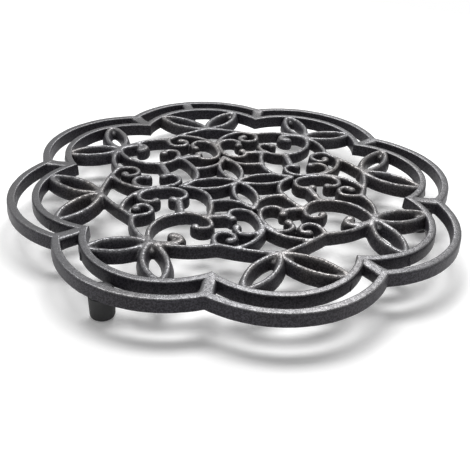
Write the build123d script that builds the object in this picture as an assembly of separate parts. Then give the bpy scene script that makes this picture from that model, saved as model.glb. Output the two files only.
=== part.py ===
from build123d import *
import math
import os

# A round cast iron trivet: an eight-lobed double rim round a grille of leaves and
# scrolls, standing on three rubber feet. Millimetres, +Z up, the origin on the table
# under the middle of the trivet, one lobe tip on each of +X, -X, +Y and -Y.

# Rims
overall_diameter = 200.0     # across two opposite lobe tips
lobe_radius = 44.9           # outer edge of one lobe
casting_height = 6.0         # underside to top face
rim_width = 4.1              # outer rim, seen from above
rim_gap = 6.0                # crescent slot between the two rims
inner_rim_width = 3.8        # inner rim, seen from above
rim_bevel = 0.5              # worn upper edge of the outer rim
bridge_width = 4.0           # bar across the slot at each notch and above the back foot

# Leaves: two hollow leaves in each lobe, spread from one point
axis_leaf_root = 61.0        # middle of the trivet to the root of a leaf pair on X and Y
diagonal_leaf_root = 63.8    # the same for the four lobes between them
diagonal_lean = 2.0          # how far, in degrees, those four pairs lean towards the X axis
leaf_spread = 45.0           # angle between a leaf and the middle line of its pair
leaf_width = 9.0             # across one leaf, between the middles of its walls
leaf_wall = 2.0

# Rosette: four hollow petals in the middle
petal_length = 25.5
petal_width = 9.4            # between the middles of the walls
petal_wall = 2.0

# Scrollwork
bar_width = 2.1              # every scroll and link
cusp_radius = 55.2           # middle to the inward point of the garland between two lobes
cusp_angle = 23.8            # from the X or Y axis to that point
garland_axis_rise = 0.9      # outward bow of the garland beside a lobe on X or Y
garland_diagonal_rise = 2.7  # the same beside a lobe between them
kite_radius = 40.2           # middle to where the two kite bars meet on an axis
kite_rise = 3.0              # outward bow of a kite bar
flank_reach = 23.3           # middle to where two flank bars meet on a diagonal
flank_rise = 3.8             # bow of a flank bar towards the middle
stalk_rise = 0.9             # bow of the bar from there to the large scroll
loop_station = 35.3          # middle to the waist of a pair of open loops on an axis
loop_offset = 0.6            # axis to the middle of the loop's bar at that waist
loop_waist_radius = 17.7     # the three arcs of half an open loop, waist to tip
loop_shoulder_radius = 6.0
loop_curl_radius = 4.2
big_scroll_radius = 16.6     # the three arcs of the large scroll
big_scroll_shoulder = 10.0
big_scroll_curl = 3.6
hook_stem_radius = 14.5      # the two arcs of the hook beside each diagonal leaf root
hook_curl_radius = 2.7
hook_tip_diameter = 4.6      # its thick round end
small_scroll_back = 9.0      # the two arcs of the small scroll at each cusp
small_scroll_curl = 4.2
curl_tip_diameter = 4.2      # thickened end of every scroll

# Feet: rubber caps pushed over cast pegs
foot_height = 9.5            # table to the underside of the casting
foot_top_diameter = 9.8
foot_bottom_diameter = 9.2
foot_bevel = 1.2             # lower edge of a foot
boss_height = 3.4            # low disc of iron on top of a foot, inside the slot
peg_diameter = 5.0
peg_length = 5.6
peg_draft = 0.4              # how much narrower the peg's end is
peg_clearance = 0.15         # round the peg
peg_end_clearance = 0.6      # below the peg
back_foot_angle = 92.0       # under the outer rim, flush with its outer wall
left_foot_angle = 224.5      # the same
right_foot_angle = 337.5     # under the bridge at a notch

lobe_angles = range(0, 360, 45)
lobe_centre = overall_diameter / 2 - lobe_radius
slot_outer = lobe_radius - rim_width
slot_inner = slot_outer - rim_gap
field_radius = slot_inner - inner_rim_width
half_step = math.radians(22.5)


def at(radius, angle):
    """Point at a distance from the middle, in a direction given in degrees."""
    return Vector(radius * math.cos(math.radians(angle)), radius * math.sin(math.radians(angle)))


def notch(radius):
    """Distance from the middle to the notch between two lobes of this radius."""
    beside = lobe_centre * math.sin(half_step)
    return lobe_centre * math.cos(half_step) + math.sqrt(radius**2 - beside**2)


def lobed(radius):
    """Filled flower of eight circles."""
    circles = [Pos(*at(lobe_centre, angle)) * Circle(radius) for angle in lobe_angles]
    return Circle(lobe_centre) + circles


def bar(edges, width):
    """Bar of constant width with round ends, along tangent arcs."""
    return SlotArc(Wire(edges), width)


def bowed(start, end, rise, width):
    """Bar along one arc that bows to the left of its chord by a given rise."""
    return bar([SagittaArc(start, end, rise)], width)


def scroll(start, heading, turns):
    """Tangent arcs drawn like a pen stroke: each turn is a radius and an angle."""
    edges = []
    here = start
    way = at(1, heading)
    for radius, angle in turns:
        arc = JernArc(start=here, tangent=way, radius=radius, arc_size=angle)
        edges.append(arc)
        here = arc @ 1
        way = arc % 1
    return edges


def dot(place, diameter):
    """Round spot."""
    return Pos(place.X, place.Y) * Circle(diameter / 2)


def mirrored(sketch, *planes):
    """A sketch together with its mirror image in each plane in turn."""
    for plane in planes:
        sketch = sketch + mirror(sketch, about=plane)
    return sketch


def two_rims():
    """Outer and inner rim and the bridges at the notches."""
    rims = lobed(lobe_radius) - lobed(slot_outer) + (lobed(slot_inner) - lobed(field_radius))
    near = notch(slot_inner) - inner_rim_width / 2
    far = notch(slot_outer) + rim_width / 2
    bridge = Pos((near + far) / 2, 0) * Rectangle(far - near, bridge_width)
    return rims + [Rot(0, 0, angle + 22.5) * bridge for angle in lobe_angles]


def leaf_pair(root, angle):
    """Two hollow leaves in one direction, from their root out to the inner rim."""
    start = at(root, angle)
    centre = at(lobe_centre, 45 * round(angle / 45))
    middle_of_rim = slot_inner - inner_rim_width / 2
    walls = []
    for side in (1, -1):
        way = at(1, angle + side * leaf_spread)
        along = (centre - start).dot(way)
        aside = (centre - start).length ** 2 - along**2
        tip = start + way * (along + math.sqrt(middle_of_rim**2 - aside))
        walls.append(bowed(start, tip, leaf_width / 2, leaf_wall))
        walls.append(bowed(start, tip, -leaf_width / 2, leaf_wall))
    return walls


def rosette():
    """Four hollow petals round the middle."""
    walls = []
    for angle in (0, 90, 180, 270):
        tip = at(petal_length, angle)
        walls.append(bowed(Vector(0, 0), tip, petal_width / 2, petal_wall))
        walls.append(bowed(Vector(0, 0), tip, -petal_width / 2, petal_wall))
    return walls


def open_loop():
    """Half of an open loop beside -Y, from its waist out and round to its tip."""
    start = at(loop_station, 270) + Vector(-loop_offset, 0)
    turns = [(loop_waist_radius, -21), (loop_shoulder_radius, -74), (loop_curl_radius, -120)]
    return scroll(start, 270, turns)


def over_waist(place):
    """Mirror image of a point across the line through the waist of the loops beside -Y."""
    return Vector(place.X, -2 * loop_station - place.Y)


def garland_sector():
    """Bars between -Y and the diagonal towards -X-Y that repeat eight times, mirrored."""
    axis_root = at(axis_leaf_root, 270)
    cusp = at(cusp_radius, 270 - cusp_angle)
    beside_axis = SagittaArc(cusp, axis_root, -garland_axis_rise)
    flank_end = at(flank_reach, 225)

    loop = open_loop()
    loop_back = mirror(Compound(loop), about=Plane.XZ.offset(loop_station)).edges()
    small = scroll(cusp, 105, [(small_scroll_back, -40), (small_scroll_curl, -160)])

    return [
        bar([beside_axis], bar_width),
        bowed(beside_axis @ 0.3, at(kite_radius, 270), -kite_rise, bar_width),
        bowed(at(petal_length, 270), flank_end, -flank_rise, bar_width),
        bar(loop, bar_width),
        bar(loop_back, bar_width),
        dot(loop[-1] @ 1, curl_tip_diameter),
        dot(over_waist(loop[-1] @ 1), curl_tip_diameter),
        bar(small, bar_width),
        dot(small[-1] @ 1, curl_tip_diameter),
    ]


def scroll_quarter():
    """Bars of the quarter between -X and -Y that repeat four times, mirrored in X and Y."""
    root = at(diagonal_leaf_root, 225 - diagonal_lean)
    big_turns = [(big_scroll_radius, -100), (big_scroll_shoulder, -90), (big_scroll_curl, -160)]
    big = scroll(root, 100, big_turns)
    hook = scroll(root, -35, [(hook_stem_radius, 35), (hook_curl_radius, 170)])
    link_start = over_waist(open_loop()[2] @ 0.71)
    return [
        bowed(at(cusp_radius, 270 - cusp_angle), root, garland_diagonal_rise, bar_width),
        bowed(at(cusp_radius, 180 + cusp_angle), root, -garland_diagonal_rise, bar_width),
        bar(big, bar_width),
        dot(big[-1] @ 1, curl_tip_diameter),
        bar(hook, bar_width),
        dot(hook[-1] @ 1, hook_tip_diameter),
        bowed(at(flank_reach, 225), big[1] @ 0.72, stalk_rise, bar_width),
        bar([Line(link_start, big[1] @ 0.64)], bar_width),
        bar([Line(Vector(link_start.Y, link_start.X), big[0] @ 0.99)], bar_width),
    ]


def grille():
    """The whole casting seen from above."""
    plan = two_rims()
    for angle in (0, 90, 180, 270):
        plan += [Rot(0, 0, angle) * wall for wall in leaf_pair(axis_leaf_root, 0)]
    diagonal_pair = Sketch() + leaf_pair(diagonal_leaf_root, 45 - diagonal_lean)
    plan += mirrored(diagonal_pair, Plane.YZ, Plane.XZ)
    quarter = Sketch() + garland_sector()
    quarter = quarter + mirror(quarter, about=Plane((0, 0, 0), x_dir=(0, 0, 1), z_dir=(1, -1, 0)))
    quarter = quarter + scroll_quarter()
    plan += mirrored(quarter, Plane.YZ, Plane.XZ)
    plan += rosette()
    return plan


def foot_places():
    """Where the three feet stand."""
    under_rim = (overall_diameter - foot_top_diameter) / 2
    under_bridge = (notch(slot_outer) + notch(slot_inner)) / 2
    return [
        at(under_rim, back_foot_angle),
        at(under_rim, left_foot_angle),
        at(under_bridge, right_foot_angle),
    ]


def peg(place, extra_radius=0.0, extra_length=0.0):
    """Tapered peg that hangs under the casting, or the hole for it."""
    length = peg_length + extra_length
    wide = peg_diameter / 2 + extra_radius
    narrow = wide - peg_draft / 2
    return Pos(place.X, place.Y, foot_height - length / 2) * Cone(narrow, wide, length)


def casting():
    """Grille, bosses and pegs in one piece of iron."""
    underside = Plane.XY.offset(foot_height)
    iron = extrude(underside * grille(), casting_height)
    top = foot_height + casting_height
    arcs = iron.edges().filter_by_position(Axis.Z, top, top).filter_by(GeomType.CIRCLE)
    iron = chamfer([arc for arc in arcs if abs(arc.radius - lobe_radius) < 0.001], rim_bevel)
    slot_middle = at(lobe_centre + (slot_outer + slot_inner) / 2, back_foot_angle)
    web = Rot(0, 0, back_foot_angle) * Rectangle(rim_gap + rim_width, bridge_width)
    iron += extrude(underside * Pos(slot_middle.X, slot_middle.Y) * web, casting_height)
    for place in foot_places():
        boss = Pos(place.X, place.Y) * Circle(foot_top_diameter / 2)
        iron += extrude(underside * boss, boss_height)
        iron += peg(place)
    return iron


def foot(place):
    """Rubber cap with a bevelled lower edge and a blind hole for the peg."""
    cone = Cone(foot_bottom_diameter / 2, foot_top_diameter / 2, foot_height)
    cap = Pos(place.X, place.Y, foot_height / 2) * cone
    lower_edge = cap.edges().filter_by(GeomType.CIRCLE).sort_by(Axis.Z)[0]
    return chamfer(lower_edge, foot_bevel) - peg(place, peg_clearance, peg_end_clearance)


os.makedirs("parts", exist_ok=True)
pieces = {"iron_casting": casting()}
for name, place in zip(("back_foot", "left_foot", "right_foot"), foot_places()):
    pieces[name] = foot(place)
for name, piece in pieces.items():
    export_step(piece, os.path.join("parts", name + ".step"))
    size = piece.bounding_box().size
    print(name, len(piece.solids()), "solid", round(piece.volume), "mm3", [round(v, 1) for v in size])
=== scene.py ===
# %% [markdown]
# # A cast iron trivet
#
# The real trivet is one flat sand casting: two lobed rims, one inside the other, round a grille
# of hollow leaves and scrolls. It stands on three rubber feet. The packed CAD model is loaded
# first, as a fixed frame, and every piece below is worked out in the same place in metres.

import bpy
import numpy as np
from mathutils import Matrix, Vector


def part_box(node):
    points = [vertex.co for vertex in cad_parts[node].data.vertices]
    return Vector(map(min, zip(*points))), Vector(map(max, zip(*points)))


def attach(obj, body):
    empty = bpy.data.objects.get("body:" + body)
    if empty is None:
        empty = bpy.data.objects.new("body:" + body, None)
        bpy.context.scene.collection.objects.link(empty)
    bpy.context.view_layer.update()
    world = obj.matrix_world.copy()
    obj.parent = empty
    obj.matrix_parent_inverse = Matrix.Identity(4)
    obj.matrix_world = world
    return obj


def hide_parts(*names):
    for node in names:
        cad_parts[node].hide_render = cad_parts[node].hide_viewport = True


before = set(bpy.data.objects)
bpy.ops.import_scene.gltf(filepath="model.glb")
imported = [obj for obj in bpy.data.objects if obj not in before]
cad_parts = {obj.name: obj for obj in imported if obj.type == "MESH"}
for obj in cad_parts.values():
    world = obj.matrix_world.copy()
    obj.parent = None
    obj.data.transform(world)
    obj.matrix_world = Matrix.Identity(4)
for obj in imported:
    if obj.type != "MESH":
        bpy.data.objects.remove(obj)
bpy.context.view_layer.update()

scene = bpy.context.scene
print("CAD nodes:", sorted(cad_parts))

# %% [markdown]
# ## Sizes
#
# The plan of the grille is drawn in millimetres, as a pattern maker would, and becomes metres
# only when a mesh is made. The overall size, the heights and the places of the feet come from
# the frame, so they can't drift away from the CAD.

# %% Heights and places from the frame
MM = 0.001
top_clearance = 0.05
feet = ("back_foot", "left_foot", "right_foot")
foot_boxes = {name: np.array(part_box(name)) / MM for name in feet}
foot_places = {name: complex(*box.mean(axis=0)[:2]) for name, box in foot_boxes.items()}
iron_box = np.array(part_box("iron_casting")) / MM

underside = foot_boxes["back_foot"][1, 2]
top_face = iron_box[1, 2] - top_clearance
tip_radius = iron_box[1, 0]
print(f"grille from {underside:.1f} to {top_face:.2f} mm, {2 * tip_radius:.0f} mm across")

# %% [markdown]
# ## Drawing in the plan
#
# A point of the plan is one complex number. That makes turning, mirroring and walking along an
# arc a matter of multiplying, and a whole path is a single array. Curve objects could draw the
# same arcs, but then their ends and tangents would have to be tuned by hand.

# %% Arcs and pen strokes
STEP = 0.6    # millimetres between two stations of a path
SPARE = 4     # stations that every arc gets on top, so that a short one is smooth too


def at(radius, degrees):
    """Point at a distance from the middle, in a direction: radius times e to the i angle."""
    return radius * np.exp(1j * np.radians(degrees))


def bowed(start, end, rise):
    """Arc that bows to the left of its chord by rise. On a chord from -1 to 1 the arc is
    (sin f + i (cos f - cos a)) / sin a, with a twice the arctangent of the relative rise."""
    half = (end - start) / 2
    a = 2 * np.arctan(rise / abs(half))
    f = a * np.linspace(-1, 1, int(2 * abs(half) / STEP) + SPARE)
    return (start + end) / 2 + half * (np.sin(f) + 1j * (np.cos(f) - np.cos(a))) / np.sin(a)


def stroke(start, heading, turns):
    """Tangent arcs like one stroke of a pen. Each turn is a radius and a signed angle, and its
    points are the last point swung round a centre that lies square to the way of travel."""
    runs = [np.array([start])]
    way = at(1, heading)
    for radius, angle in turns:
        here = runs[-1][-1]
        centre = here + 1j * np.sign(angle) * radius * way
        stations = int(radius * abs(np.radians(angle)) / STEP) + SPARE
        swing = np.linspace(0, np.radians(angle), stations)[1:]
        runs.append(centre + (here - centre) * np.exp(1j * swing))
        way = way * at(1, angle)
    return np.concatenate(runs)


print("a quarter turn of 10 mm ends at", np.round(stroke(0j, 0, [(10, 90)])[-1], 3))

# %% [markdown]
# ## The unevenness of sand
#
# No bar of a sand casting is quite straight on top or equal in width. A few sine waves across
# the plan give each place its own small error. They are the same on every run, which random
# numbers are not.

# %% A smooth error for every place


def uneven(place, wavelength):
    """Mean of four sine waves that cross the plan in four directions, from -1 to 1."""
    directions = at(1, np.array([17, 71, 128, 163]))
    stretch = np.array([1.0, 1.31, 0.83, 1.57])
    phase = np.array([0.4, 2.1, 4.4, 5.3])
    along = (np.asarray(place)[..., None] * directions.conj()).real
    return np.sin(2 * np.pi * along * stretch / wavelength + phase).mean(axis=-1)


def dip(place, depth, wavelength):
    """Error that only takes iron away, from 0 to depth: half the depth times 1 plus uneven."""
    return depth * (1 + uneven(place, wavelength)) / 2


print("error near the middle:", np.round(uneven(np.array([0, 5, 10 + 5j]), 12.0), 2))

# %% [markdown]
# ## Bars
#
# Cut across, a bar of the grille is a tall rectangle whose corners the mould has rounded. A
# superellipse gives that outline with one number for its squareness, and it spreads towards the
# underside, because a pattern with sloping walls lifts out of the sand without tearing it. The
# outline is carried along the path, and both ends narrow like the end of a finger, so that two
# bars that meet at an angle leave no notch between them.

# %% An outline and the skin round it


def outline(squareness, corners):
    """Superellipse as two arrays: the sign of cosine or sine times its size to the power
    2 / squareness, stretched so that both just reach 1."""
    v = 2 * np.pi * (np.arange(corners) + 0.5) / corners
    both = []
    for wave in (np.cos(v), np.sin(v)):
        wave = np.sign(wave) * abs(wave) ** (2 / squareness)
        both.append(wave / wave.max())
    return both


def tube(plan, height, ring=False):
    """Points and faces of a tube: rows follow the path and columns go round it. A ring joins
    its last row to its first, and any other tube is closed by a strip of faces at each end."""
    rows, columns = plan.shape
    points = np.stack([plan.real, plan.imag, height], axis=-1).reshape(-1, 3)
    row = np.arange(rows if ring else rows - 1)[:, None]
    column = np.arange(columns)[None, :]
    here, after = row * columns, (row + 1) % rows * columns
    beside = (column + 1) % columns
    wall = np.stack([here + column, here + beside, after + beside, after + column], axis=-1)
    faces = [wall.reshape(-1, 4)]
    if not ring:
        half = columns // 2
        k = np.arange(-columns // 4, columns // 4 - 1)
        cap = np.stack([k, k + 1, half - 2 - k, half - 1 - k], axis=-1) % columns
        faces += [cap[:, ::-1], cap + (rows - 1) * columns]
    return points, faces


print("a squarish outline reaches", [round(max(wave), 2) for wave in outline(4.5, 24)])

# %% One swept bar
NOSE = np.radians([78, 55, 28])    # stations on the round end of a bar
SWELL_LENGTH = 2.5    # millimetres over which a swelling dies away
WAVER = 0.08    # share of the width that a long and a short wave each add
ELSEWHERE = 60    # millimetres of shift, so that the top doesn't wave together with the width


def swept_bar(path, width, spread=0.6, swell=0.45, squareness=4.5, crown=0.35, corners=24):
    """Bar along a path, underside to top face. The half width follows the outline sideways, gains
    the spread towards the underside and swells near both ends, dying away as e to the minus
    distance. The height follows the outline upwards, and the top may sag by the crown."""
    way = np.gradient(path)
    way = way / abs(way)
    half = width / 2
    steps = len(NOSE)
    front, back = way[0] * half * np.sin(NOSE), way[-1] * half * np.sin(NOSE[::-1])
    path = np.concatenate([path[0] - front, path, path[-1] + back])
    way = np.concatenate([np.full(steps, way[0]), way, np.full(steps, way[-1])])
    thin = np.concatenate([np.cos(NOSE), np.ones(len(path) - 2 * steps), np.cos(NOSE[::-1])])

    side, rise = outline(squareness, corners)
    share = (rise + 1) / 2
    gone = np.concatenate([[0], np.cumsum(abs(np.diff(path)))])
    ends = np.exp(-gone / SWELL_LENGTH) + np.exp((gone - gone[-1]) / SWELL_LENGTH)
    fat = half * (1 + swell * ends + WAVER * uneven(path, 8.0) + WAVER * uneven(path, 2.6))
    fat = thin[:, None] * (fat[:, None] + spread * (1 - share))
    long_wave, short_wave = uneven(path + ELSEWHERE, 14.0), uneven(path, 3.1)
    top = top_face - crown * (1 + 0.6 * long_wave + 0.4 * short_wave) / 2
    plan = path[:, None] + 1j * way[:, None] * fat * side
    return tube(plan, underside + (top[:, None] - underside) * share)


points, faces = swept_bar(bowed(0j, 20 + 0j, 3.0), 2.1)
print("a 20 mm bar has", len(points), "points and", sum(map(len, faces)), "faces")

# %% [markdown]
# ## Turned shapes
#
# Knobs, bosses and feet are round, so a profile turned about an upright axis makes them. The
# profile starts and ends on the axis, and each of these two points is shared by a fan of
# triangles, so the shape is closed.

# %% One turned shape


def turned(place, radius, height, around=40):
    """Surface of revolution: place plus radius times e to the i angle, at the profile's height.
    The first and last radius are zero and become single points."""
    angle = np.arange(around) * 2 * np.pi / around
    rings = place + radius[1:-1, None] * np.exp(1j * angle)
    levels = np.broadcast_to(height[1:-1, None], rings.shape)
    body = np.stack([rings.real, rings.imag, levels], axis=-1).reshape(-1, 3)
    poles = np.array([[place.real, place.imag, level] for level in (height[0], height[-1])])
    points = np.concatenate([body, poles])

    ring = np.arange(len(rings) - 1)[:, None] * around
    i = np.arange(around)
    j = (i + 1) % around
    wall = np.stack([ring + i, ring + j, ring + around + j, ring + around + i], axis=-1)
    last = (len(rings) - 1) * around
    low_fan = np.stack([np.full(around, len(body)), j, i], axis=-1)
    high_fan = np.stack([last + i, last + j, np.full(around, len(body) + 1)], axis=-1)
    return points, [wall.reshape(-1, 4), low_fan, high_fan]


def knob(place, diameter, drop=0.0, squareness=3.4, stations=15):
    """Round end of a scroll, or the filling of a corner: a superellipse turned about its middle
    line, from the underside to a little below the top face, less the drop."""
    v = np.linspace(-np.pi / 2, np.pi / 2, stations)
    radius = diameter / 2 * np.cos(v).clip(0) ** (2 / squareness)
    radius[[0, -1]] = 0
    rise = np.sign(np.sin(v)) * abs(np.sin(v)) ** (2 / squareness)
    top = top_face - drop - dip(place, 0.1, 9.0)
    return turned(place, radius, underside + (top - underside) * (rise + 1) / 2, around=24)


print("a knob has", len(knob(0j, 5.8)[0]), "points")

# %% [markdown]
# ## From shells to a piece
#
# A piece is made of many closed shells that run into each other, as clay rolls would. A voxel
# Remesh melts them into one skin, and a little Smooth rounds the inner corners where bars meet,
# which is what the flow of hot metal and the sand do on the real casting. A Boolean union would
# keep hard seams and can fail where surfaces only just touch.

# %% Make a piece


def melted(piece, voxel, ease):
    """Puts a voxel Remesh and some rounds of Smooth on a piece, with the voxel in millimetres."""
    melt = piece.modifiers.new("melt", "REMESH")
    melt.mode = "VOXEL"
    melt.voxel_size = voxel * MM
    melt.use_smooth_shade = True
    soften = piece.modifiers.new("soften", "SMOOTH")
    soften.factor = 0.5
    soften.iterations = ease


def make_piece(name, shells, finish, nodes, voxel=None, ease=3):
    """Joins shells into one mesh in metres, hangs it on the frame and counts its triangles."""
    starts = np.cumsum([0] + [len(points) for points, _ in shells[:-1]])
    points = np.concatenate([points for points, _ in shells]) * MM
    faces = []
    for start, (_, blocks) in zip(starts, shells):
        for block in blocks:
            faces += (block + start).tolist()
    mesh = bpy.data.meshes.new(name)
    mesh.from_pydata(points.tolist(), [], faces)
    mesh.shade_smooth()
    mesh.materials.append(finish)
    piece = bpy.data.objects.new(name, mesh)
    scene.collection.objects.link(piece)
    if voxel:
        melted(piece, voxel, ease)
    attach(piece, "root")
    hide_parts(*nodes)
    skin = piece.evaluated_get(bpy.context.evaluated_depsgraph_get()).to_mesh()
    skin.calc_loop_triangles()
    print(f"{name}: {len(shells)} shells, {len(skin.loop_triangles)} triangles")


def iron_piece(name, shells, finish, voxel=None, ease=3):
    """Piece of the casting, which stands in for the one iron node of the CAD."""
    make_piece(name, shells, finish, ["iron_casting"], voxel, ease)


print("a mesh takes the millimetres of its shells times", MM)

# %% [markdown]
# ## Shader sums as Python
#
# Noise, masks and mixes are easier to read as sums than as a picture of boxes and wires. The
# small class below wraps one output of a node. Adding or multiplying it adds a Math node, and
# its method add makes any other node.

# %% Signals


class Signal:
    """One output of a shader node, which can be used in Python sums."""

    def __init__(self, tree, socket=None):
        self.tree = tree
        self.socket = socket

    def add(self, kind, settings=None, sockets=None, out=0):
        """Adds a node: its settings first, then a value or a link for each of its sockets."""
        node = self.tree.nodes.new("ShaderNode" + kind)
        for name, value in (settings or {}).items():
            setattr(node, name, value)
        for key, value in (sockets or {}).items():
            if isinstance(value, Signal):
                self.tree.links.new(value.socket, node.inputs[key])
            else:
                node.inputs[key].default_value = value
        return Signal(self.tree, node.outputs[out] if node.outputs else None)

    def math(self, operation, first, second):
        """Math node of two values or signals."""
        return self.add("Math", {"operation": operation}, {0: first, 1: second})

    def __add__(self, other):
        return self.math("ADD", self, other)

    __radd__ = __add__

    def __mul__(self, other):
        return self.math("MULTIPLY", self, other)

    __rmul__ = __mul__

    def __sub__(self, other):
        return self.math("SUBTRACT", self, other)

    def __rsub__(self, other):
        return self.math("SUBTRACT", other, self)

    def between(self, low, high):
        """Smooth step: 0 below low, 1 above high."""
        settings = {"interpolation_type": "SMOOTHSTEP"}
        return self.add("MapRange", settings, {"Value": self, "From Min": low, "From Max": high})

    def blend(self, low, high):
        """Mix of two colours, with this signal as the share of the second. A Mix node has its
        colours on inputs 6 and 7 and its mixed colour on output 2."""
        settings = {"data_type": "RGBA"}
        return self.add("Mix", settings, {0: self, 6: low, 7: high}, out=2)

    def noise(self, scale, detail, rough):
        """Noise on these coordinates, with scale in cells per metre."""
        sockets = {"Vector": self, "Scale": scale, "Detail": detail, "Roughness": rough}
        return self.add("TexNoise", {}, sockets)


def new_finish(name):
    """Material with no nodes yet, and a Signal to start its sums from."""
    material = bpy.data.materials.new(name)
    material.use_nodes = True
    material.node_tree.nodes.clear()
    return material, Signal(material.node_tree)


print("a Signal can", ", ".join(word for word in vars(Signal) if not word.startswith("_")))

# %% [markdown]
# ## Cast iron
#
# The iron is black and grainy from the sand. Where pots slide over it, the tops and the upper
# edges are rubbed lighter and a little smoother, and dull brown stays in the corners. How far a
# surface faces up tells the worn tops from the walls, so the finish needs no painted mask. One
# recipe gives two finishes: the rims are evenly grey on top, and the scrolls have brighter specks
# and more brown.

# %% The iron
soot_black = (0.0190, 0.0178, 0.0220, 1)
rusty_black = (0.0210, 0.0180, 0.0185, 1)
half_grey = (0.5, 0.5, 0.5, 1)
grain_depth = 0.00011


def tinted(grey, red, green, blue):
    """Colour of a given grey with a slight tint."""
    return (grey * red, grey * green, grey * blue, 1)


def cast_iron(name, sandy, bright, even, rust):
    """Black base with grey grains of sand, brown patches, tops worn bright, and a bump of three
    grains. The four numbers are how grey the grains are, how bright and how even the worn tops
    are, and how much brown there is."""
    material, start = new_finish(name)
    place = start.add("TexCoord", out="Object")
    normal = start.add("NewGeometry", out="Normal")
    up = start.add("SeparateXYZ", {}, {0: normal}, out="Z")

    sand = place.noise(1500.0, detail=3.0, rough=0.65)
    pits = place.noise(560.0, detail=4.0, rough=0.6)
    lumps = place.noise(150.0, detail=3.0, rough=0.5)
    patches = place.noise(38.0, detail=3.0, rough=0.55)

    grit = sand.between(0.4, 0.62)
    specks = 0.6 * grit + 0.4 * pits.between(0.4, 0.6)
    worn = up.between(0.2, 0.85) * (even + (1 - even) * specks)
    brown = patches.between(0.42, 0.68) * rust
    dark = brown.blend(soot_black, rusty_black)
    pale = brown.blend(tinted(sandy, 1.0, 0.95, 1.14), tinted(sandy, 1.08, 0.98, 0.98))
    rubbed = brown.blend(tinted(bright, 1.0, 1.0, 1.03), tinted(bright, 1.06, 1.0, 0.96))
    colour = worn.blend(grit.blend(dark, pale), rubbed)
    roughness = 0.37 + 0.12 * sand - 0.2 * worn
    metal = worn * 0.85
    height = 0.6 * sand + 0.8 * pits + 0.6 * lumps
    bump = start.add("Bump", {}, {"Strength": 0.75, "Distance": grain_depth, "Height": height})
    skin = start.add(
        "BsdfPrincipled",
        {},
        {"Base Color": colour, "Roughness": roughness, "Metallic": metal,
         "Specular IOR Level": 0.3, "Specular Tint": half_grey, "Normal": bump},
    )
    start.add("OutputMaterial", {}, {"Surface": skin})
    return material


rim_iron = cast_iron(
    "grainy black iron of the rims", sandy=0.066, bright=0.135, even=0.45, rust=0.25)
scroll_iron = cast_iron(
    "rubbed black iron of the scrolls", sandy=0.062, bright=0.19, even=0.2, rust=0.8)
print(rim_iron.name, "uses", len(rim_iron.node_tree.nodes), "nodes")

# %% [markdown]
# ## The two rims
#
# Each rim is a chain of eight arcs that meet in a sharp notch. The outline of the bar is carried
# round each lobe's own centre, and every point of the outline turns just as far as the notch, so
# neighbouring lobes meet in a clean mitre and the rim closes into one ring.

# %% Rims
LOBES = 8
LOBE_TURN = 360 / LOBES
lobe_radius = 44.9
rim_width = 4.1
rim_gap = 6.0
inner_rim_width = 3.8
lobe_centre = tip_radius - lobe_radius
slot_outer = lobe_radius - rim_width
slot_inner = slot_outer - rim_gap


def notch(radius):
    """Distance from the middle to the notch between two lobes: the lobe's centre seen along the
    notch line, plus the rest of the right triangle under the radius."""
    beside = lobe_centre * np.sin(np.pi / LOBES)
    return lobe_centre * np.cos(np.pi / LOBES) + np.sqrt(radius**2 - beside**2)


def lobed_rim(outer, width, lean=0.3, squareness=7.0, corners=28):
    """Ring of eight arcs. A point of the outline has its own radius, and its angle about the
    lobe's centre runs from notch to notch, with closer stations near the notch. The walls lean
    in by the same amount on both sides, and small dips make the rim uneven."""
    side, rise = outline(squareness, corners)
    radius = outer - width / 2 - side * (width / 2 - lean * (rise + 1) / 2)
    reach = np.angle(notch(radius) * at(1, LOBE_TURN / 2) - lobe_centre)
    close = np.array([0.96, 0.985, 0.997])
    share = np.concatenate([[-1], -close[::-1], np.linspace(-0.93, 0.93, 55), close])
    lobe = lobe_centre + radius * np.exp(1j * share[:, None] * reach)
    plan = np.concatenate([lobe * at(1, LOBE_TURN * k) for k in range(LOBES)])
    mid = plan.mean(axis=1)
    inward = dip(mid, 0.14, 17.0) + dip(mid, 0.12, 3.4)
    plan = plan * (1 - inward / abs(mid))[:, None]
    top = top_face - dip(mid, 0.12, 23.0) - dip(mid + 40, 0.1, 4.0)
    return tube(plan, underside + (top[:, None] - underside) * (rise + 1) / 2, ring=True)


iron_piece("outer_rim", [lobed_rim(lobe_radius, rim_width)], rim_iron)
iron_piece("inner_rim", [lobed_rim(slot_inner, inner_rim_width)], rim_iron)

# %% [markdown]
# ## Bridges, web and bosses
#
# A short bar crosses the gap between the rims at each notch, and one more at the far lobe, above
# the back foot. They sag a little and widen where they run into the rims. Above each foot the
# iron swells to a low boss as wide as the foot, with a peg that the rubber is pushed over.

# %% Bridges between the rims
bridge_width = 5.5
bridge_flare = 0.8
bridge_drop = 0.12
bridge_sag = 0.25
web_flare = 1.2


def flared_bar(start, end, width, flare):
    """Straight bar that grows towards both ends: its half width gains flare times the cube of
    the distance from the middle, and its top sags as 1 minus the square of that distance."""
    share = np.linspace(-1, 1, 25)
    path = (start + end) / 2 + (end - start) / 2 * share
    half = width / 2 + flare * abs(share) ** 3
    side, rise = outline(squareness=5.0, corners=24)
    way = (end - start) / abs(end - start)
    plan = path[:, None] + 1j * way * half[:, None] * side
    top = top_face - bridge_drop - bridge_sag * (1 - share**2)
    return tube(plan, underside + (top[:, None] - underside) * (rise + 1) / 2)


near = notch(slot_inner) - inner_rim_width / 2
far = notch(slot_outer) + rim_width / 2
bridges = []
for k in range(LOBES):
    angle = LOBE_TURN * k + LOBE_TURN / 2
    bridges.append(flared_bar(at(near, angle), at(far, angle), bridge_width, bridge_flare))

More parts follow.
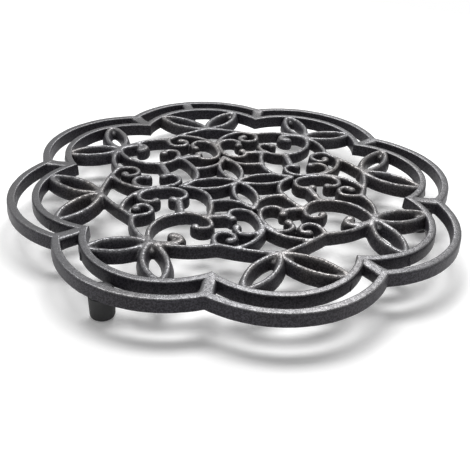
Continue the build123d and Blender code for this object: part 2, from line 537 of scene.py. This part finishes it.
web_way = foot_places["back_foot"] / abs(foot_places["back_foot"])
web_middle = lobe_centre + (slot_outer + slot_inner) / 2
web_reach = (rim_gap + rim_width) / 2
web_start, web_end = (web_middle - web_reach) * web_way, (web_middle + web_reach) * web_way
bridges.append(flared_bar(web_start, web_end, bridge_width, web_flare))
print(len(bridges), "bridges from", round(near, 1), "to", round(far, 1), "mm")

# %% Bosses and pegs
boss_radius = 4.9
boss_height = 2.6
dome_width, dome_rise = 1.6, 1.4
peg_radius = 2.5
peg_length = 5.6
peg_floor = underside - peg_length


def foot_boss(place):
    """Turned boss: the peg with its blunt end, a flat step out to the wall, and a top edge that
    is a quarter ellipse."""
    t = np.radians(np.linspace(0, 90, 10))
    dome_radius = boss_radius - dome_width + dome_width * np.cos(t)
    dome_height = underside + boss_height - dome_rise + dome_rise * np.sin(t)
    peg = [0, peg_radius - 0.5, peg_radius - 0.2, peg_radius, boss_radius - 0.1]
    peg_height = [peg_floor, peg_floor, peg_floor + 0.3, underside, underside]
    radius = np.concatenate([peg, dome_radius, [0]])
    height = np.concatenate([peg_height, dome_height, dome_height[-1:]])
    return turned(place, radius, height)


bosses = [foot_boss(place) for place in foot_places.values()]
iron_piece("bridges_and_bosses", bridges + bosses, rim_iron, voxel=0.4)

# %% [markdown]
# ## Leaves and scrolls
#
# The grille is drawn once, between the left and the near lobe, and mirrored into the other three
# quarters. The mirroring is done on the paths, before the bars are swept, so no skin is turned
# inside out and each quarter gets its own unevenness.

# %% Paths of the hollow leaves
leaf_width = 9.0
leaf_wall = 2.0
leaf_turn = 45.0
leaf_corner = 0.13
axis_leaf_root = 61.0
diagonal_leaf_root = 63.8
diagonal_lean = 2.0


def add_leaf(walls, corners, root, angle, side):
    """Two bowed walls from the root of a leaf to the middle of the inner rim, where a ray from
    the root meets the lobe's circle, and the two narrow corners between them."""
    start = at(root, angle)
    centre = at(lobe_centre, LOBE_TURN * round(angle / LOBE_TURN))
    way = at(1, angle + side * leaf_turn)
    along = ((centre - start) * way.conjugate()).real
    aside = abs(centre - start) ** 2 - along**2
    tip = start + way * (along + np.sqrt((slot_inner - inner_rim_width / 2) ** 2 - aside))
    walls.extend([bowed(start, tip, leaf_width / 2), bowed(start, tip, -leaf_width / 2)])
    corners.extend([start + leaf_corner * (tip - start), tip - leaf_corner * (tip - start)])


leaf_walls, leaf_corners = [], []
add_leaf(leaf_walls, leaf_corners, axis_leaf_root, 270, -1)
add_leaf(leaf_walls, leaf_corners, axis_leaf_root, 180, 1)
for side in (1, -1):
    add_leaf(leaf_walls, leaf_corners, diagonal_leaf_root, 225 - diagonal_lean, side)
print(len(leaf_walls), "leaf walls in a quarter")

# %% Paths of the bars that repeat eight times
cusp_radius, cusp_angle = 55.2, 23.8
axis_garland_rise = 0.9
kite_share, kite_radius, kite_rise = 0.3, 40.2, 3.0
petal_length = 25.5
flank_reach, flank_rise = 23.3, 3.8
loop_station, loop_offset = 35.3, 0.6
loop_turns = [(17.7, -21), (6.0, -74), (4.2, -120)]
small_heading = 105
small_turns = [(9.0, -40), (4.2, -160), (2.0, -100)]


def in_loop_mirror(path):
    """Mirror image across the line through the waist of a pair of loops."""
    return path.conj() - 2j * loop_station


cusp = at(cusp_radius, 270 - cusp_angle)
beside_axis = bowed(cusp, at(axis_leaf_root, 270), -axis_garland_rise)
kite_start = beside_axis[int(kite_share * len(beside_axis))]
loop = stroke(at(loop_station, 270) - loop_offset, 270, loop_turns)
small = stroke(cusp, small_heading, small_turns)
sector_bars = [
    beside_axis,
    bowed(kite_start, at(kite_radius, 270), -kite_rise),
    bowed(at(petal_length, 270), at(flank_reach, 225), -flank_rise),
    loop,
    in_loop_mirror(loop),
    small,
]
sector_tips = [loop[-1], in_loop_mirror(loop)[-1], small[-1]]
print(len(sector_bars), "bars and", len(sector_tips), "curled tips in an eighth")

# %% Paths of the large scroll, the hook and the links
leaf_root = at(diagonal_leaf_root, 225 - diagonal_lean)
diagonal_garland_rise = 2.7
big_heading = 100
big_turns = [(16.6, -100), (10.0, -90), (3.6, -160)]
stem_rise = 0.9
hook_heading = -35
hook_turns = [(14.5, 39), (2.7, 170)]
link_share = 0.71
link_rise = 0.01


def on_big_scroll(arc, share):
    """Point on one arc of the large scroll: the stroke broken off there."""
    radius, angle = big_turns[arc]
    return stroke(leaf_root, big_heading, big_turns[:arc] + [(radius, angle * share)])[-1]


big = stroke(leaf_root, big_heading, big_turns)
hook = stroke(leaf_root, hook_heading, hook_turns)
hook_stem = stroke(leaf_root, hook_heading, hook_turns[:1])
hook_middle = hook[len(hook_stem):].mean()
link_turns = loop_turns[:2] + [(loop_turns[2][0], link_share * loop_turns[2][1])]
link_start = in_loop_mirror(stroke(loop[0], 270, link_turns))[-1]
quarter_bars = [
    bowed(cusp, leaf_root, diagonal_garland_rise),
    bowed(at(cusp_radius, 180 + cusp_angle), leaf_root, -diagonal_garland_rise),
    big,
    bowed(at(flank_reach, 225), on_big_scroll(1, 0.72), stem_rise),
]
stout_bars = [
    hook,
    bowed(link_start, on_big_scroll(1, 0.64), link_rise),
    bowed(1j * link_start.conjugate(), on_big_scroll(0, 0.99), link_rise),
]
print(len(quarter_bars), "bars and", len(stout_bars), "stouter ones of their own in a quarter")

# %% [markdown]
# ## Four quarters of scrollwork
#
# The bars differ a little in width. The leaves have thin walls that spread widely towards the
# underside, and the hook and the links are stouter than the scrolls. Each scroll ends in a knob,
# and lower knobs fill the hook's curl and the narrow corners of the leaves, where sand and metal
# don't leave a sharp crease.

# %% Sweep the four quarters


def across_diagonal(path):
    """Mirror image that swaps x and y: i times the conjugate."""
    return 1j * np.conj(path)


def mirrored(path, x_sign, y_sign):
    """Path with its x and y turned to the signs given."""
    return x_sign * np.real(path) + 1j * y_sign * np.imag(path)


bars = quarter_bars + sector_bars + [across_diagonal(path) for path in sector_bars]
tips = sector_tips + [across_diagonal(tip) for tip in sector_tips] + [big[-1]]
bar_kinds = [
    (leaf_walls, {"width": leaf_wall, "spread": 1.8, "swell": 0.9}),
    (bars, {"width": 2.1}),
    (stout_bars, {"width": 3.0, "swell": 0.2}),
]
knob_kinds = [
    (tips, {"diameter": 4.2}),
    ([hook[-1]], {"diameter": 4.8}),
    ([hook_middle], {"diameter": 6.4, "drop": 0.9}),
    (leaf_corners, {"diameter": 4.0, "drop": 1.8}),
]
quarters = {"near_left": (1, 1), "near_right": (-1, 1), "far_right": (-1, -1), "far_left": (1, -1)}
for name, signs in quarters.items():
    shells = []
    for paths, kind in bar_kinds:
        shells += [swept_bar(mirrored(path, *signs), **kind) for path in paths]
    for places, kind in knob_kinds:
        shells += [knob(complex(mirrored(place, *signs)), **kind) for place in places]
    iron_piece("scrollwork_" + name, shells, scroll_iron, voxel=0.45, ease=5)

# %% [markdown]
# ## Rosette
#
# Four hollow petals meet in the middle. They are made like the leaves, as pairs of bowed walls,
# and melted together so that the middle becomes one solid spot of iron.

# %% Four petals
petal_width = 9.4
petal_wall = 2.0

shells = []
for angle in (0, 90, 180, 270):
    for rise in (petal_width / 2, -petal_width / 2):
        shells.append(swept_bar(bowed(0j, at(petal_length, angle), rise), petal_wall))
iron_piece("rosette", shells, scroll_iron, voxel=0.4)

# %% [markdown]
# ## Rubber feet
#
# A foot is a plain moulded cap with a round lower edge and a blind hole for the peg. Turning one
# closed profile gives the outside and the hole together. The rubber is nearly black and matt,
# smoother than the iron, with a faint bloom.

# %% Rubber
deep_black = (0.011, 0.011, 0.0115, 1)
bloomed_black = (0.020, 0.020, 0.021, 1)
moulded_depth = 0.0001


def black_rubber():
    """Nearly black, matt, with a faint bloom and a fine moulded grain."""
    material, start = new_finish("matt black rubber")
    place = start.add("TexCoord", out="Object")
    bloom = place.noise(170.0, detail=3.0, rough=0.5)
    grain = place.noise(2600.0, detail=2.0, rough=0.5)
    colour = bloom.between(0.4, 0.7).blend(deep_black, bloomed_black)
    roughness = 0.58 + 0.14 * bloom
    bump = start.add("Bump", {}, {"Strength": 0.25, "Distance": moulded_depth, "Height": grain})
    sockets = {"Base Color": colour, "Roughness": roughness, "Normal": bump}
    skin = start.add("BsdfPrincipled", {}, sockets)
    start.add("OutputMaterial", {}, {"Surface": skin})
    return material


rubber = black_rubber()
print(rubber.name, "uses", len(rubber.node_tree.nodes), "nodes")

# %% Three feet
bottom_radius = 4.6
lower_round = 1.4
bore_radius = peg_radius + 0.15
bore_floor = peg_floor - 0.6


def rubber_foot(place):
    """Turned cap: flat sole, a quarter circle round the lower edge, a wall that widens upwards,
    a flat top ring, and the hole back down to its floor on the axis."""
    corner = np.radians(np.linspace(-90, 0, 9))
    round_radius = bottom_radius - lower_round + lower_round * np.cos(corner)
    round_height = lower_round + lower_round * np.sin(corner)
    wall = np.linspace(0, 1, 8)[1:]
    wall_radius = bottom_radius + (boss_radius - bottom_radius) * wall
    wall_height = lower_round + (underside - 0.3 - lower_round) * wall
    lip_radius = [boss_radius - 0.08, boss_radius - 0.3, bore_radius + 0.2, bore_radius]
    lip_height = [underside - 0.1, underside - 0.02, underside - 0.02, underside - 0.2]
    radius = np.concatenate([[0], round_radius, wall_radius, lip_radius, [bore_radius - 0.2, 0]])
    height = np.concatenate([[0], round_height, wall_height, lip_height, [bore_floor, bore_floor]])
    return turned(place, radius, height, around=64)


for name, place in foot_places.items():
    make_piece("rubber_" + name, [rubber_foot(place)], rubber, [name])

# %% [markdown]
# ## Floor
#
# The trivet stands on a plain white table. To look white without more light on the iron, the
# table is a little paler and glows faintly where it is seen by the camera or in a reflection. It
# still keeps the soft shadow. A round table is used, because its edge is equally far away in
# every view.

# %% Floor
table_radius = 0.45
table_white = (0.98, 0.98, 0.98, 1)
table_glow = (0.13, 0.13, 0.13, 1)


def seen_directly(start):
    """1 for rays that show a surface in the picture, in a reflection or through glass."""
    camera, glossy, through = (
        start.add("LightPath", out=name)
        for name in ("Is Camera Ray", "Is Glossy Ray", "Is Transmission Ray")
    )
    return start.math("MINIMUM", camera + glossy + through, 1.0)


def white_table():
    """Pale matt surface, blended to white with a faint glow where it is seen directly."""
    material, start = new_finish("white table")
    place = start.add("TexCoord", out="Object")
    cloud = place.noise(9.0, detail=2.0, rough=0.5)
    shown = seen_directly(start)
    plain = cloud.blend((0.86, 0.86, 0.86, 1), (0.88, 0.88, 0.88, 1))
    colour = shown.blend(plain, table_white)
    glow = shown.blend((0, 0, 0, 1), table_glow)
    skin = start.add(
        "BsdfPrincipled",
        {},
        {"Base Color": colour, "Roughness": 0.85, "Specular IOR Level": 0.1,
         "Emission Color": glow, "Emission Strength": 1.0},
    )
    start.add("OutputMaterial", {}, {"Surface": skin})
    return material


edge = at(table_radius, np.arange(0, 360, 3))
corners = np.stack([edge.real, edge.imag, 0 * edge.real], axis=-1)
mesh = bpy.data.meshes.new("table")
mesh.from_pydata(corners.tolist(), [], [list(range(len(edge)))])
mesh.materials.append(white_table())
table = bpy.data.objects.new("table", mesh)
scene.collection.objects.link(table)
print("table is", 2 * table_radius, "m across")

# %% [markdown]
# ## Light
#
# Two soft panels hang above and behind the trivet. The key panel is long and narrow, with its long
# side level, so shadows are blurred from side to side and crisper from front to back. The smaller
# back panel is there for the tops of the near bars, which mirror it towards the camera. Dim white
# surroundings fill the rest.

# %% Lamps and surroundings
dim_light = 0.32
scene.view_settings.view_transform = "Standard"


def soft_panel(name, way, distance, width, height, energy):
    """Oblong area lamp in a direction from the trivet, turned to face it, long side level."""
    panel = bpy.data.lights.new(name, "AREA")
    panel.shape = "RECTANGLE"
    panel.size = width
    panel.size_y = height
    panel.energy = energy
    lamp = bpy.data.objects.new(name, panel)
    lamp.location = distance * np.array(way) / np.linalg.norm(way)
    lamp.rotation_euler = (-lamp.location).to_track_quat("-Z", "Y").to_euler()
    scene.collection.objects.link(lamp)
    print(name, energy, "W at", [round(v, 2) for v in lamp.location])


soft_panel("key panel", (0.07, 0.49, 0.87), distance=1.5, width=1.3, height=0.42, energy=21.0)
soft_panel("back panel", (0.33, 0.72, 0.62), distance=1.3, width=0.5, height=0.36, energy=5.4)

world = bpy.data.worlds.new("studio")
world.use_nodes = True
world.node_tree.nodes.clear()
start = Signal(world.node_tree)
strength = dim_light + (1 - dim_light) * seen_directly(start)
sky = start.add("Background", {}, {"Color": (1, 1, 1, 1), "Strength": strength})
start.add("OutputWorld", {}, {"Surface": sky})
scene.world = world
print("surroundings of strength", dim_light, "and white where they are seen")

# %% [markdown]
# ## Camera
#
# The camera stands low in front of the trivet, a little to the left, and looks down at it. Its
# place, turn and focal length were fitted to the lobes of the outer rim, so the picture has the
# same perspective as the photograph.

# %% Camera
focal_length = 54.79
sensor_width = 36.0
camera_place = (-0.08242, -0.27560, 0.15931)
camera_turn = (58.9855, -2.6671, -15.0535)

lens = bpy.data.cameras.new("camera")
lens.lens = focal_length
lens.sensor_width = sensor_width
lens.clip_start = 0.01
camera = bpy.data.objects.new("camera", lens)
camera.location = camera_place
camera.rotation_euler = np.radians(camera_turn)
scene.collection.objects.link(camera)
scene.camera = camera
print("camera", focal_length, "mm at", camera_place)

# %% [markdown]
# ## Finish
#
